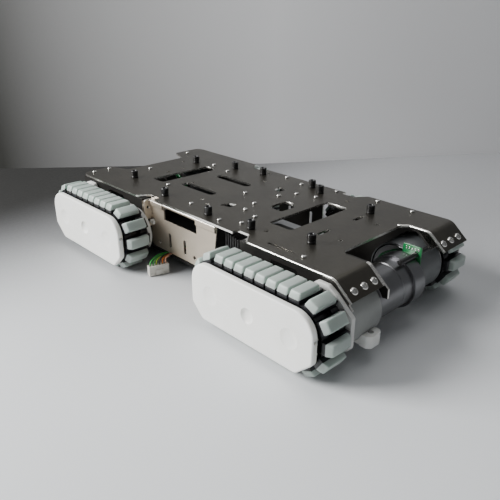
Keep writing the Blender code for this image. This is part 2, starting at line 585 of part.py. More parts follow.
curve = bpy.data.curves.new("motor_lead", "CURVE")
curve.dimensions = "3D"
curve.bevel_depth = LEAD_D / 2 * MM
curve.bevel_resolution = 2
curve.use_fill_caps = True
route = smooth_route(LEAD_ROUTE, 2)
spline = curve.splines.new("POLY")
spline.points.add(len(route) - 1)
for point, p in zip(spline.points, route):
    point.co = (*(p * MM), 1)
tube = bpy.data.objects.new("lead_line", curve)
bpy.context.scene.collection.objects.link(tube)
smooth(to_mesh(tube, "motor_lead", LEAD))

# every flat face of many corners is split the same way for each use
for piece in parts.objects:
    if not piece.modifiers:
        edit = bmesh.new()
        edit.from_mesh(piece.data)
        wide = [face for face in edit.faces if len(face.verts) > 4]
        if wide:
            bmesh.ops.triangulate(edit, faces=wide, ngon_method="BEAUTY")
            edit.to_mesh(piece.data)
        edit.free()

for piece in parts.objects:
    piece.location.y += CENTRE_SHIFT * MM
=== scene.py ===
"""Tracked robot chassis on a pale studio floor. Lengths in the text are millimetres."""
import math

import bmesh
import bpy
from mathutils import Matrix, Vector


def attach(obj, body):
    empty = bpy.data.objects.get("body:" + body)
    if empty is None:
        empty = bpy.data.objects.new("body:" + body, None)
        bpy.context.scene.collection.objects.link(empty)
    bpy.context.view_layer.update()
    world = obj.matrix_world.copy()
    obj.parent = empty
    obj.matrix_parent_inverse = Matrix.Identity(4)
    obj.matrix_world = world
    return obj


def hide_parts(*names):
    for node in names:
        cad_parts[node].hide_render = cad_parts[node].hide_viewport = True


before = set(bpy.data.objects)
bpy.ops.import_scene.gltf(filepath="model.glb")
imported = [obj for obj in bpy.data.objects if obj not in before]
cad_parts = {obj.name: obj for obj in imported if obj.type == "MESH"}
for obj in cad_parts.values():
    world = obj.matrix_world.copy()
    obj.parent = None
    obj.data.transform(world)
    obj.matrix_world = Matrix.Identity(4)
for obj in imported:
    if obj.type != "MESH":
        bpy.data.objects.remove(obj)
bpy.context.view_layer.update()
MM = 0.001

# ------------------------------------------------------------------ camera
azimuth, elevation, roll = (math.radians(a) for a in (46.525, 24.04, 0.154))
back = Vector((math.sin(azimuth) * math.cos(elevation), -math.cos(azimuth) * math.cos(elevation), math.sin(elevation)))
right = Vector((math.cos(azimuth), math.sin(azimuth), 0))
up = back.cross(right)
right, up = right * math.cos(roll) + up * math.sin(roll), up * math.cos(roll) - right * math.sin(roll)
eye = bpy.data.cameras.new("camera")
eye.sensor_width = 36.0
eye.lens = 40.804
eye.clip_start = 0.01
camera = bpy.data.objects.new("camera", eye)
camera.matrix_world = Matrix.Translation(Vector((308.27, -284.44, 197.47)) * MM) @ Matrix((right, up, back)).transposed().to_4x4()
bpy.context.scene.collection.objects.link(camera)
bpy.context.scene.camera = camera

# ------------------------------------------------------------------ sizes shared with the solids
DECK_TOP, DECK_T = 54.3, 1.5
BEND_X, BEND_R, BEND_DEG, FLANGE_END_X = 133.0, 8.0, 41.0, 148.6
AXLE_Z, DRIVE_X, IDLER_X = 26.07, 130.5, 63.0
LINKS, PITCH_R = 26, 15.97
LEFT_IN, LEFT_BACK = 19.4, 8.6          # the left pods sit further in and nearer the middle
SHIFT = Vector((0, 9.7, 0)) * MM        # middle of the overall width onto the X axis
CORNERS = [("front_right", 1, 1), ("front_left", 1, -1), ("rear_right", -1, 1), ("rear_left", -1, -1)]


# ------------------------------------------------------------------ materials
def nodes_of(name):
    made = bpy.data.materials.new(name)
    made.use_nodes = True
    tree = made.node_tree
    return made, tree, tree.nodes["Principled BSDF"]


def place(tree, scale=(1, 1, 1)):
    """Object coordinates, stretched: every piece is built where it stands, so these are true lengths."""
    coords = tree.nodes.new("ShaderNodeTexCoord")
    mapping = tree.nodes.new("ShaderNodeMapping")
    mapping.inputs["Scale"].default_value = scale
    tree.links.new(coords.outputs["Object"], mapping.inputs["Vector"])
    return mapping.outputs["Vector"]


def noise(tree, vector, scale, detail=3.0, rough=0.55):
    made = tree.nodes.new("ShaderNodeTexNoise")
    made.inputs["Scale"].default_value = scale
    made.inputs["Detail"].default_value = detail
    made.inputs["Roughness"].default_value = rough
    tree.links.new(vector, made.inputs["Vector"])
    return made.outputs["Fac"]


def ramp(tree, value, low, high, start=0.3, end=0.7):
    made = tree.nodes.new("ShaderNodeMapRange")
    made.inputs["From Min"].default_value = start
    made.inputs["From Max"].default_value = end
    made.inputs["To Min"].default_value = low
    made.inputs["To Max"].default_value = high
    tree.links.new(value, made.inputs["Value"])
    return made.outputs["Result"]


def mix(tree, factor, first, second):
    made = tree.nodes.new("ShaderNodeMix")
    made.data_type = "RGBA"
    tree.links.new(factor, made.inputs["Factor"])
    for socket, colour in ((made.inputs[6], first), (made.inputs[7], second)):
        if isinstance(colour, tuple):
            socket.default_value = (*colour, 1.0)
        else:
            tree.links.new(colour, socket)
    return made.outputs[2]


def bump(tree, shader, height, strength, distance):
    made = tree.nodes.new("ShaderNodeBump")
    made.inputs["Strength"].default_value = strength
    made.inputs["Distance"].default_value = distance
    tree.links.new(height, made.inputs["Height"])
    tree.links.new(made.outputs["Normal"], shader.inputs["Normal"])


def metal(name, colour, darker, roughness, spread=0.06, brushed=(1, 1, 1), grain=900.0, metallic=1.0, relief=0.12):
    """Sheet or turned metal: patchy tone, brushed or grained roughness and a fine relief."""
    made, tree, shader = nodes_of(name)
    shader.inputs["Metallic"].default_value = metallic
    cloud = noise(tree, place(tree), 28.0, 4.0)
    tree.links.new(mix(tree, ramp(tree, cloud, 0.0, 1.0), darker, colour), shader.inputs["Base Color"])
    fine = noise(tree, place(tree, brushed), grain, 2.0)
    tree.links.new(ramp(tree, fine, roughness - spread, roughness + spread), shader.inputs["Roughness"])
    bump(tree, shader, fine, relief, 0.00004)
    return made


def plastic(name, colour, second, roughness, grain=1400.0, relief=0.1, subsurface=0.0, radius=(1, 1, 1), depth=0.002,
            transmission=0.0, coat=0.0, cloud_scale=40.0):
    made, tree, shader = nodes_of(name)
    cloud = noise(tree, place(tree), cloud_scale, 4.0)
    tree.links.new(mix(tree, ramp(tree, cloud, 0.0, 1.0), second, colour), shader.inputs["Base Color"])
    fine = noise(tree, place(tree), grain, 2.0)
    tree.links.new(ramp(tree, fine, roughness - 0.05, roughness + 0.05), shader.inputs["Roughness"])
    bump(tree, shader, fine, relief, 0.00005)
    shader.inputs["Subsurface Weight"].default_value = subsurface
    shader.inputs["Subsurface Radius"].default_value = radius
    shader.inputs["Subsurface Scale"].default_value = depth
    shader.inputs["Transmission Weight"].default_value = transmission
    shader.inputs["Coat Weight"].default_value = coat
    return made


DECK = metal("deck_dark_steel", (0.104, 0.096, 0.080), (0.076, 0.071, 0.060), 0.36, 0.05, (1, 14, 14), 260.0, 0.85, 0.1)
EDGE = metal("bare_cut_edge", (0.95, 0.93, 0.88), (0.82, 0.80, 0.75), 0.24, 0.06, (1, 1, 12), 500.0)
# dark plated finish of the brackets; also used as painted shade on faces and motors that lie in shade
PLATED_AND_SHADE = metal("plated_bracket_and_painted_shade", (0.060, 0.057, 0.052), (0.040, 0.038, 0.036), 0.40, 0.08, (10, 10, 1), 240.0, 0.8)
INNER = metal("dark_inner_steel", (0.030, 0.029, 0.028), (0.018, 0.018, 0.017), 0.50, 0.08, (10, 1, 10), 240.0, 0.6)
PALE = metal("pale_steel", (0.56, 0.49, 0.40), (0.47, 0.41, 0.33), 0.42, 0.08, (14, 14, 1), 240.0, 0.8)
SCREW = metal("screw_steel", (0.80, 0.79, 0.76), (0.66, 0.65, 0.62), 0.22, 0.06)
CAN = metal("motor_can_steel", (0.26, 0.26, 0.27), (0.20, 0.20, 0.205), 0.32, 0.04, (1, 30, 1), 60.0, 1.0, 0.05)
NYLON = plastic("white_nylon", (0.94, 0.94, 0.90), (0.89, 0.89, 0.845), 0.42, 1200.0, 0.12, 0.35, (1.0, 0.95, 0.85), 0.003)
FRAME_NYLON = plastic("frame_nylon", (0.70, 0.70, 0.68), (0.62, 0.62, 0.60), 0.45, 1200.0, 0.12, 0.25, (1.0, 0.95, 0.85), 0.002)
PAD = plastic("milky_pad", (0.50, 0.56, 0.52), (0.42, 0.48, 0.45), 0.38, 1500.0, 0.08, 0.7, (0.8, 1.0, 0.9), 0.004, 0.12)
CHAIN = plastic("black_link", (0.010, 0.010, 0.013), (0.006, 0.006, 0.008), 0.36, 1500.0, 0.1)
# painted shade: grey nylon, its colour lowered further to stand for the shade the sleeve sits in
SLEEVE = plastic("sleeve_nylon", (0.30, 0.31, 0.30), (0.24, 0.25, 0.24), 0.36, 1200.0, 0.1, 0.1, (1.0, 0.95, 0.85), 0.002)
# painted shade: a darker copy of the sleeve colour for the left sleeves, which lie deeper in shade
SHADE_PAINTED_SLEEVE = plastic("sleeve_nylon_painted_shade", (0.150, 0.158, 0.162), (0.115, 0.120, 0.124), 0.36, 1200.0, 0.1)
BLACK = plastic("black_nylon", (0.012, 0.011, 0.011), (0.008, 0.008, 0.008), 0.30, 1500.0, 0.1)
BOARD = plastic("board_green", (0.005, 0.17, 0.045), (0.003, 0.12, 0.03), 0.30, 900.0, 0.1, coat=0.4)
PLUG = plastic("plug_white", (0.76, 0.73, 0.66), (0.68, 0.66, 0.60), 0.40, 1500.0, 0.1, 0.2, depth=0.001)


def paper(name, light, second, fades):
    """Pale paper whose colour darkens along given directions as painted shade: (direction, start, end, colour)."""
    made, tree, shader = nodes_of(name)
    coords = tree.nodes.new("ShaderNodeTexCoord")
    tone = mix(tree, ramp(tree, noise(tree, place(tree), 5.0, 2.0), 0.0, 1.0), light, second)
    for direction, start, end, colour in fades:
        split = tree.nodes.new("ShaderNodeVectorMath")
        split.operation = "DOT_PRODUCT"
        tree.links.new(coords.outputs["Object"], split.inputs[0])
        split.inputs[1].default_value = direction
        placed = tree.nodes.new("ShaderNodeMapRange")
        placed.interpolation_type = "SMOOTHSTEP" if len(fades) > 1 else "LINEAR"
        tree.links.new(split.outputs["Value"], placed.inputs["Value"])
        placed.inputs["From Min"].default_value = start
        placed.inputs["From Max"].default_value = end
        blend = tree.nodes.new("ShaderNodeMix")
        blend.data_type = "RGBA"
        tree.links.new(placed.outputs["Result"], blend.inputs["Factor"])
        tree.links.new(tone, blend.inputs[6])
        blend.inputs[7].default_value = (*colour, 1.0)
        tone = blend.outputs[2]
    tree.links.new(tone, shader.inputs["Base Color"])
    fine = noise(tree, place(tree), 300.0, 2.0)
    tree.links.new(ramp(tree, fine, 0.55, 0.65), shader.inputs["Roughness"])
    bump(tree, shader, fine, 0.02, 0.00005)
    return made


# painted shade: the floor colour darkens away from the camera and turns near black towards -X on the left
FLOOR = paper("floor_paper", (0.80, 0.82, 0.83), (0.775, 0.795, 0.81),
              [((-0.726, 0.688, 0.0), -0.20, 0.13, (0.375, 0.38, 0.39)), ((-0.988, -0.097, 0.0), 0.03, 0.28, (0.014, 0.014, 0.013))])
# painted shade: the backdrop colour darkens to near black towards its left end
WALL = paper("backdrop_paper", (0.80, 0.80, 0.805), (0.78, 0.78, 0.785), [((-0.627, -0.779, 0.0), -0.06, 0.28, (0.030, 0.030, 0.026))])
WIRE_COLOURS = {"wire_green": (0.03, 0.42, 0.05), "wire_green_2": (0.04, 0.36, 0.06), "wire_lime": (0.42, 0.55, 0.05),
                "wire_black": (0.02, 0.02, 0.02), "wire_orange": (0.75, 0.20, 0.03), "wire_salmon": (0.85, 0.45, 0.30)}
WIRES = {name: plastic(name, colour, tuple(c * 0.8 for c in colour), 0.3, 1500.0, 0.05, coat=0.3)
         for name, colour in WIRE_COLOURS.items()}


# ------------------------------------------------------------------ shape helpers
def link(name, mesh, *materials):
    made = bpy.data.objects.new(name, mesh)
    made.location = SHIFT
    bpy.context.scene.collection.objects.link(made)
    for material in materials:
        mesh.materials.append(material)
    return made


def to_object(edit, name, *materials):
    bmesh.ops.recalc_face_normals(edit, faces=edit.faces)
    mesh = bpy.data.meshes.new(name)
    edit.to_mesh(mesh)
    edit.free()
    return link(name, mesh, *materials)


def fillet(points, radii, steps=6):
    out, n = [], len(points)
    for i, p in enumerate(points):
        r = radii[i] if isinstance(radii, (list, tuple)) else radii
        p = Vector(p)
        if r <= 0:
            out.append(tuple(p))
            continue
        a, b = (Vector(points[i - 1]) - p), (Vector(points[(i + 1) % n]) - p)
        half = a.angle(b) / 2
        cut = min(r / math.tan(half), 0.49 * min(a.length, b.length))
        r = cut * math.tan(half)
        a.normalize()
        b.normalize()
        centre = p + (a + b).normalized() * (r / math.sin(half))
        start, end = p + a * cut - centre, p + b * cut - centre
        turn = start.angle_signed(end)
        for k in range(steps + 1):
            v = start.copy()
            v.rotate(Matrix.Rotation(-turn * k / steps, 2))
            out.append(tuple(centre + v))
    return out


def circle(x, y, r, n=24):
    return [(x + r * math.cos(2 * math.pi * k / n), y + r * math.sin(2 * math.pi * k / n)) for k in range(n)]


def box_outline(x0, y0, x1, y1):
    return [(x0, y0), (x1, y0), (x1, y1), (x0, y1)]


def slot(x0, y0, x1, y1, n=8):
    return fillet(box_outline(x0, y0, x1, y1), min(x1 - x0, y1 - y0) / 2 * 0.999, n)


def prism(name, loops, low, high, plane="XY", *materials):
    edit = bmesh.new()
    for loop in loops:
        if plane == "XY":
            corners = [edit.verts.new((x * MM, y * MM, low * MM)) for x, y in loop]
            along = (0, 0, (high - low) * MM)
        elif plane == "XZ":
            corners = [edit.verts.new((x * MM, low * MM, y * MM)) for x, y in loop]
            along = (0, (high - low) * MM, 0)
        else:
            corners = [edit.verts.new((low * MM, x * MM, y * MM)) for x, y in loop]
            along = ((high - low) * MM, 0, 0)
        face = edit.faces.new(corners)
        moved = bmesh.ops.extrude_face_region(edit, geom=[face], use_keep_orig=True)["geom"]
        bmesh.ops.translate(edit, vec=along, verts=[v for v in moved if isinstance(v, bmesh.types.BMVert)])
    return to_object(edit, name, *materials)


def applied(target):
    """The target with its modifiers made part of its mesh."""
    bpy.context.view_layer.update()
    graph = bpy.context.evaluated_depsgraph_get()
    mesh = bpy.data.meshes.new_from_object(target.evaluated_get(graph), depsgraph=graph)
    target.modifiers.clear()
    old, target.data = target.data, mesh
    bpy.data.meshes.remove(old)
    mesh.name = target.name
    return target


def combine(target, others, operation):
    for other in others:
        modifier = target.modifiers.new(operation.lower(), "BOOLEAN")
        modifier.operation = operation
        modifier.solver = "EXACT"
        modifier.object = other
        applied(target)
        bpy.data.objects.remove(other, do_unlink=True)
    return target


def join(target, *others):
    return combine(target, others, "UNION")


def cut(target, *others):
    return combine(target, others, "DIFFERENCE")


def smooth(target, degrees=35):
    target.data.shade_smooth()
    target.data.set_sharp_from_angle(angle=math.radians(degrees))
    return target


def bevel(target, width, segments=2, degrees=35):
    modifier = target.modifiers.new("soft_edges", "BEVEL")
    modifier.width = width * MM
    modifier.segments = segments
    modifier.limit_method = "ANGLE"
    modifier.angle_limit = math.radians(degrees)
    modifier.use_clamp_overlap = True
    applied(target)
    return smooth(target, 50)


def lathe(name, profile, axis, at, sides, *materials):
    """A closed turned shape from (radius, height) pairs, turned about an axis through a point."""
    edit = bmesh.new()
    rings = []
    for radius, height in profile:
        if radius < 1e-6:
            rings.append([edit.verts.new((0, 0, height * MM))])
        else:
            rings.append([edit.verts.new((radius * MM * math.cos(2 * math.pi * k / sides),
                                          radius * MM * math.sin(2 * math.pi * k / sides), height * MM))
                          for k in range(sides)])
    for low, high in zip(rings, rings[1:]):
        for k in range(sides):
            corners = [low[k % len(low)], low[(k + 1) % len(low)], high[(k + 1) % len(high)], high[k % len(high)]]
            corners = [v for i, v in enumerate(corners) if v not in corners[:i]]
            if len(corners) > 2:
                edit.faces.new(corners)
    for ring in (rings[0], rings[-1]):
        if len(ring) > 1:
            edit.faces.new(ring)
    turn = Vector((0, 0, 1)).rotation_difference(Vector(axis)).to_matrix().to_4x4()
    bmesh.ops.transform(edit, verts=edit.verts, matrix=Matrix.Translation(Vector(at) * MM) @ turn)
    return smooth(to_object(edit, name, *materials), 30)


def box(name, low, high, *materials):
    edit = bmesh.new()
    middle = Vector([(a + b) / 2 * MM for a, b in zip(low, high)])
    bmesh.ops.create_cube(edit, size=1.0, matrix=Matrix.Translation(middle) @ Matrix.Diagonal(
        [*((b - a) * MM for a, b in zip(low, high)), 1]))
    return to_object(edit, name, *materials)


def merged(name, pieces):
    """Separate closed shapes as one object, with their materials kept."""
    edit = bmesh.new()
    materials = []
    for piece in pieces:
        first = len(edit.faces)
        edit.from_mesh(piece.data)
        edit.faces.ensure_lookup_table()
        for face in edit.faces[first:]:
            material = piece.data.materials[face.material_index]
            if material not in materials:
                materials.append(material)
            face.material_index = materials.index(material)
    mesh = bpy.data.meshes.new(name)
    edit.to_mesh(mesh)
    edit.free()
    for piece in pieces:
        bpy.data.objects.remove(piece, do_unlink=True)
    return link(name, mesh, *materials)


def at_corner(source, name, sx, sy):
    """A copy of a front right piece at another corner, mirrored in its mesh."""
    mesh = source.data.copy()
    mesh.name = name
    mesh.transform(Matrix.Diagonal((sx, sy, 1, 1)))
    if sy < 0:
        mesh.transform(Matrix.Translation(Vector((-sx * LEFT_BACK, -LEFT_IN, 0)) * MM))
    if sx * sy < 0:
        mesh.flip_normals()
    made = bpy.data.objects.new(name, mesh)
    made.location = SHIFT
    bpy.context.scene.collection.objects.link(made)
    return made


def edges_bare(target, is_edge):
    """Gives the faces that are a sheet's cut edge the second material."""
    for face in target.data.polygons:
        face.material_index = 1 if is_edge(face.normal, face.center / MM) else 0
    return target


def paint_bay_shade(target, inside, material=None):
    """Faces that look into the bay get a dark material as painted shade."""
    target.data.materials.append(material or PLATED_AND_SHADE)
    index = len(target.data.materials) - 1
    for polygon in target.data.polygons:
        if inside(polygon.normal, polygon.center / MM):
            polygon.material_index = index


def four(source, stem, node_stem=None, body="chassis", left=None):
    """The piece at all four corners, each standing for its CAD node; left is the shape of the left ones, if it differs."""
    for corner, sx, sy in CORNERS:
        made = source if corner == "front_right" else at_corner(left if left and sy < 0 else source, f"{stem}_{corner}", sx, sy)
        made.name = f"{stem}_{corner}"
        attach(made, body.format(corner))
        if node_stem:
            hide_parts(f"{node_stem}_{corner}")


# ------------------------------------------------------------------ loose motor lead: six wires and their connector
LEAD_ROUTE = [(-33.5, -40.0, 11.3), (-33.5, -48.0, 11.3), (-33.6, -56.0, 11.4), (-33.2, -61.0, 11.7),
              (-31.7, -66.5, 12.0), (-29.9, -71.0, 11.6), (-29.0, -72.7, 10.0), (-29.0, -72.7, 8.4)]
PLUG_AT, PLUG_DIR = (-29.0, -72.7), 74.5
PLUG_W, PLUG_T, PLUG_H = 16.1, 5.4, 8.0
along_plug = Vector((math.cos(math.radians(PLUG_DIR)), math.sin(math.radians(PLUG_DIR)), 0))
wires = []
for k, (name, material) in enumerate(WIRES.items()):
    share = (k - 2.5) / 2.5
    spread = [1.6, 1.6, 1.7, 2.4, 4.0, 5.6, 6.2, 6.2]
    lift = [0, 0, 0, 0.4, 0.7, 0.4, 0, 0]
    fan = [Vector((-1, 0, 0)), Vector((-1, 0, 0)), Vector((-1, 0, 0)), Vector((-0.9, -0.3, 0)), Vector((-0.6, -0.7, 0)),
           -along_plug, -along_plug, -along_plug]
    ways = [Vector(p) + f.normalized() * -share * s + Vector((0, 0, h * math.cos(k * 2.1)))
            for p, s, h, f in zip(LEAD_ROUTE, spread, lift, fan)]
    curve = bpy.data.curves.new(name, "CURVE")
    curve.dimensions = "3D"
    curve.bevel_depth = 0.6 * MM
    curve.bevel_resolution = 3
    curve.use_fill_caps = True
    points = []
    for i in range(len(ways) - 1):
        p0, p1, p2, p3 = ways[max(i - 1, 0)], ways[i], ways[i + 1], ways[min(i + 2, len(ways) - 1)]
        for t in (0, 0.25, 0.5, 0.75):
            points.append(0.5 * (2 * p1 + (p2 - p0) * t + (2 * p0 - 5 * p1 + 4 * p2 - p3) * t * t
                                 + (3 * p1 - p0 - 3 * p2 + p3) * t ** 3))
    points.append(ways[-1])
    spline = curve.splines.new("POLY")
    spline.points.add(len(points) - 1)
    for point, p in zip(spline.points, points):
        point.co = (*(p * MM), 1)
    made = bpy.data.objects.new(name, curve)
    made.location = SHIFT
    bpy.context.scene.collection.objects.link(made)
    curve.materials.append(material)
    wires.append((made, ways[0], sum((b - a).length for a, b in zip(points, points[1:]))))

# housing lying in its own coordinates, then set down on its foot
plug = box("plug_body", (-PLUG_W / 2, -PLUG_T / 2, 0), (PLUG_W / 2, PLUG_T / 2, PLUG_H), PLUG)
bevel(plug, 0.35, 2)
cavities = []
for k in range(6):
    x = (k - 2.5) * 2.5
    cavities.append(box("cavity", (x - 0.85, -PLUG_T / 2 + 1.0, PLUG_H - 3), (x + 0.85, PLUG_T / 2 - 1.0, PLUG_H + 1)))
    cavities.append(box("window", (x - 0.6, -PLUG_T / 2 - 1, 1.6), (x + 0.6, -PLUG_T / 2 + 0.5, 3.4)))
cut(plug, *cavities)
rib = box("plug_rib", (-PLUG_W / 2 + 5, -PLUG_T / 2 - 0.7, 0.8), (PLUG_W / 2 - 5, -PLUG_T / 2 + 0.5, 5.0), PLUG)
bevel(rib, 0.25, 2)
ears = []
for side in (-1, 1):
    ears.append(bevel(box("plug_ear", (side * PLUG_W / 2 - 0.8, -PLUG_T / 2 - 0.35, PLUG_H - 2.6),
                          (side * PLUG_W / 2 + 0.02, PLUG_T / 2, PLUG_H), PLUG), 0.2, 1))
plug = merged("lead_plug", [smooth(plug), rib])
for ear in ears:
    bpy.data.objects.remove(ear, do_unlink=True)
plug.data.transform(Matrix.Translation((PLUG_AT[0] * MM, PLUG_AT[1] * MM, 0)) @ Matrix.Rotation(math.radians(PLUG_DIR), 4, "Z"))
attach(plug, "chassis")
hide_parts("lead_connector")
for made, start, length in wires:
    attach(made, "chassis")
    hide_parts("motor_lead")

# ------------------------------------------------------------------ deck
centre = Vector((BEND_X, DECK_TOP - BEND_R))


def ear_strip(top, thickness, start_x, end_x, steps=10):
    drop = DECK_TOP - top
    bend = math.radians(BEND_DEG)
    along = Vector((math.cos(bend), -math.sin(bend)))

    def arc(r):
        return [centre + r * Vector((math.sin(bend * k / steps), math.cos(bend * k / steps))) for k in range(steps + 1)]

    over, under = arc(BEND_R - drop), arc(BEND_R - drop - thickness)
    reach = (end_x - over[-1].x) / along.x
    over.append(over[-1] + along * reach)
    under.append(under[-1] + along * reach)
    return [(start_x, top)] + [tuple(p) for p in over] + [tuple(p) for p in reversed(under)] + [(start_x, top - thickness)]


half = [(-131.0, -30.5), (-149.6, -36.5), (-149.2, -66.0), (-64.2, -66.0), (-56.6, -56.4),
        (-45.6, -56.4), (-45.6, -61.3), (45.6, -61.3), (45.6, -56.4),
        (56.6, -56.4), (64.2, -66.0), (BEND_X, -66.0), (BEND_X, -35.0), (120.0, -35.0), (116.0, -31.0)]
radii = [2, 3, 7, 1, 0.4, 0.4, 0.4, 0.4, 0.4, 0.4, 1, 0, 0, 3, 3]
outline = fillet(half + [(x, -y) for x, y in reversed(half)], radii + radii[::-1], 5)
HOLES = [fillet([(-92.6, -30.6), (-77.8, -29.8), (-76.3, 28.2), (-90.4, 27.4)], 3.5, 4),
         slot(-63.0, -22.8, -23.0, -15.0), slot(-60.4, 12.6, -20.0, 20.4), slot(74.8, -58.0, 97.4, -55.8),
         fillet(box_outline(50.0, -31.0, 70.5, 31.0), 2.0, 5),
         fillet([(27.0, -5.0), (31.0, -9.0), (41.0, -9.0), (41.0, 5.0), (37.0, 9.0), (27.0, 9.0)], 1.5, 4),
         slot(86.2, -23.2, 89.4, -11.2), slot(86.4, 15.4, 89.6, 26.6),
         fillet([(-1.5, -33.0), (8.0, -30.0), (7.5, -22.5), (1.0, -24.5)], 1.0, 4),
         fillet([(-1.5, 33.0), (8.0, 30.0), (7.5, 22.5), (1.0, 24.5)], 1.0, 4)]
SCREWS = [(-8.5, 1.0), (14.9, 15.1), (14.5, -11.0), (20.0, -25.6), (35.5, -30.5), (38.0, -45.9), (23.0, -53.5),
          (-17.9, -46.5), (-68.3, -31.3), (-89.1, 36.0), (21.1, 29.1), (37.0, 34.2), (7.2, 50.5), (-14.9, 56.4),
          (-64.8, 31.5), (105.1, -56.7), (-144.0, -57.2), (-144.0, -42.0), (-119.6, -14.1), (-141.8, 45.6),
          (75.8, 61.5), (106.6, 60.5), (38.9, 57.5)]
OPEN_HOLES = [(-59.0, -12.0), (-9.0, -38.0), (-33.8, 53.7), (-118.7, 22.4), (104.0, -20.0), (104.0, 20.0), (60.0, -44.0),
              (60.0, 44.0), (-100.0, 8.0), (-100.0, -8.0), (-20.0, 34.0), (-20.0, -34.0)]
deck = prism("deck", [outline], DECK_TOP - DECK_T, DECK_TOP, "XY", DECK, EDGE)
RIM = fillet([(114.2, 31.0), (116.0, 31.0), (120.0, 35.0), (135.0, 35.0)], [0, 3, 3, 0], 5)
for side in (-1, 1):
    lane = sorted((side * 35.0, side * 65.5))
    join(deck, prism("ear", [ear_strip(DECK_TOP, DECK_T, 126.0, FLANGE_END_X)], lane[0], lane[1], "XZ"))
cut(deck, prism("holes", HOLES + [circle(x, y, 1.6, 16) for x, y in OPEN_HOLES], DECK_TOP - 5, DECK_TOP + 5))
edges_bare(deck, lambda n, c: abs(n.y) > 0.5 or (c.x < 132 and abs(n.z) < 0.5) or (c.z < 45.5 and n.z < -0.5 and n.x > 0.5))
bevel(deck, 0.2, 1, 30)
smooth(deck, 12)
# bright turned edges: along the left side of the front cut-out and at the far ends of the holes
def bead(name, line, radius):
    """Round bead along a line of points."""
    edit = bmesh.new()
    rings = []
    for number, point in enumerate(line):
        ahead = (line[min(number + 1, len(line) - 1)] - line[max(number - 1, 0)]).normalized()
        across = ahead.cross(Vector((0, 0, 1))).normalized()
        lift = across.cross(ahead)
        rings.append([edit.verts.new((point + (across * math.cos(a) + lift * math.sin(a)) * radius) * MM)
                      for a in [2 * math.pi * k / 12 for k in range(12)]])
    for low, high in zip(rings, rings[1:]):
        for k in range(12):
            edit.faces.new([low[k], low[(k + 1) % 12], high[(k + 1) % 12], high[k]])
    edit.faces.new(rings[0])
    edit.faces.new(rings[-1])
    bmesh.ops.recalc_face_normals(edit, faces=edit.faces)
    return smooth(to_object(edit, name, EDGE), 50)


fall = ear_strip(DECK_TOP, DECK_T, 126.0, FLANGE_END_X)[1:13]
rim = bead("rim", [Vector((x, y, DECK_TOP - 0.35)) for x, y in RIM[:-1]] + [Vector((x, 35.0, z - 0.35)) for x, z in fall], 0.95)
near_rim = bead("near_rim", [Vector((x, y, DECK_TOP - 0.6)) for x, y in ((57.2, -57.0), (63.9, -65.4), (66.0, -65.75), (80.0, -65.75),
                                                                      (100.0, -65.75), (120.0, -65.75))]
                + [Vector((x, -65.5, z - 0.6)) for x, z in fall], 0.7)
tabs = [bevel(box("tab", low, high, EDGE), 0.15, 1) for low, high in (
    ((52.5, 30.3, 52.2), (69.5, 31.1, 54.9)), ((29.0, 8.3, 52.4), (36.5, 9.1, 55.1)), ((-89.6, 26.6, 52.6), (-83.0, 27.5, 54.9)))]
turned_edges = merged("turned_edges", [rim, near_rim] + tabs)
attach(turned_edges, "chassis")
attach(deck, "chassis")
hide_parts("top_plate")


def pan_screw(name, at, normal, head=1.9, turn=0.0):
    """Pan head with a cross recess."""
    made = lathe(name, [(head * 0.97, 0.0), (head, 0.25), (head * 0.98, 0.6), (head * 0.86, 1.0), (head * 0.6, 1.32), (0, 1.45)],
                 (0, 0, 1), (0, 0, 0), 20, SCREW)
    arms = prism("arms", [box_outline(-head * 0.55, -head * 0.13, head * 0.55, head * 0.13)], 0.7, 3.0)
    across = prism("across", [box_outline(-head * 0.13, -head * 0.55, head * 0.13, head * 0.55)], 0.7, 3.0)
    cut(made, arms, across)
    spin = Vector((0, 0, 1)).rotation_difference(Vector(normal)).to_matrix().to_4x4()
    made.data.transform(Matrix.Translation(Vector(at) * MM) @ spin @ Matrix.Rotation(turn, 4, "Z"))
    return smooth(made, 30)


flange_normal = Vector((math.sin(math.radians(BEND_DEG)), 0, math.cos(math.radians(BEND_DEG))))
flange_foot = centre + BEND_R * Vector((flange_normal.x, flange_normal.z))
heads = [pan_screw(f"screw_{i}", (x, y, DECK_TOP), (0, 0, 1), 1.75, i * 0.7) for i, (x, y) in enumerate(SCREWS)]
for side in (-1, 1):
    for i, y in enumerate((39.5, 49.0, 58.5)):
        x = 144.6
        z = flange_foot.y - (x - flange_foot.x) * math.tan(math.radians(BEND_DEG))
        heads.append(pan_screw(f"ear_screw_{side}_{i}", (x, side * y, z), flange_normal, 2.6, i * 0.9))
heads = merged("deck_screws", heads)
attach(heads, "chassis")

# ------------------------------------------------------------------ standoffs
STANDOFFS = [(-105.3, -40.0), (-107.0, 29.2), (-66.6, 42.2), (-35.8, 47.9), (-47.3, -49.6),
             (9.0, -52.0), (49.8, -48.1), (18.3, 51.2), (32.0, 45.0), (94.0, -37.0), (87.2, 36.0)]
for number, (x, y) in enumerate(STANDOFFS, 1):
    z = DECK_TOP + 0.3
    post = lathe(f"standoff_post_{number:02d}", [(2.9, z - 0.3), (3.0, z - 0.1), (3.0, z + 0.9), (2.8, z + 1.15), (2.8, z + 1.6),
                 (3.0, z + 1.85), (3.0, z + 5.6), (2.65, z + 6.0), (1.75, z + 6.0), (1.4, z + 5.6), (1.3, z + 5.2),
                 (1.45, z + 4.8), (1.3, z + 4.4), (1.45, z + 4.0), (1.3, z + 3.6), (1.3, z + 2.0), (0, z + 2.0)],
                 (0, 0, 1), (x, y, 0), 28, BLACK)
    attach(post, "chassis")
    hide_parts(f"standoff_{number:02d}")

